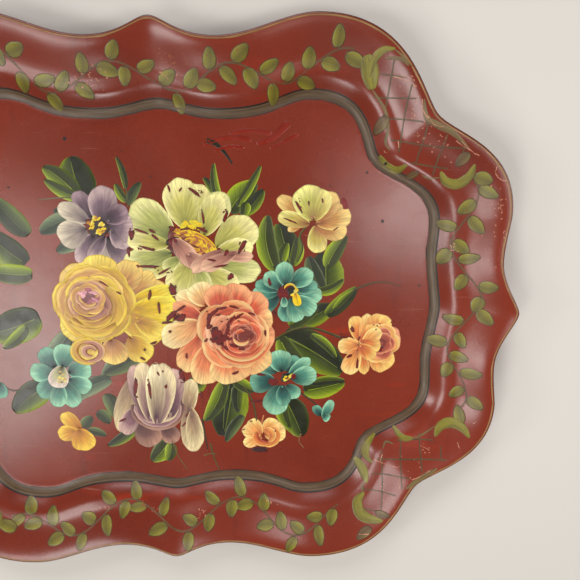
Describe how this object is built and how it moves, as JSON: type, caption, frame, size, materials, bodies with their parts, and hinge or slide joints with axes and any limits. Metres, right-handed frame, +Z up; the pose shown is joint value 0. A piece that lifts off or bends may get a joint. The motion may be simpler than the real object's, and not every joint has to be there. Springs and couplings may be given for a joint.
{
  "type": "painted metal tray",
  "caption": "Oblong pressed-steel serving tray with a scalloped, wire-edged border, lacquered red and hand-painted with flowers.",
  "frame": {"origin": "middle of the underside of the floor, which the tray rests on", "axes": "+Z up out of the tray's face, +X along its length, +Y across it; the tray is the same either way round in X and in Y"},
  "size_m": [0.571, 0.449, 0.027],
  "materials": {
    "red_lacquer": "worn gloss lacquer",
    "rim_steel": "dull",
    "olive_band": "satin",
    "rim_gilding": "dull gold paint",
    "flower_paint": "oil paint under lacquer",
    "leaf_paint": "oil paint under lacquer"
  },
  "bodies": {
    "root": {"tray_body": "red_lacquer", "rim_wire": "rim_steel"}
  },
  "joints": []
}
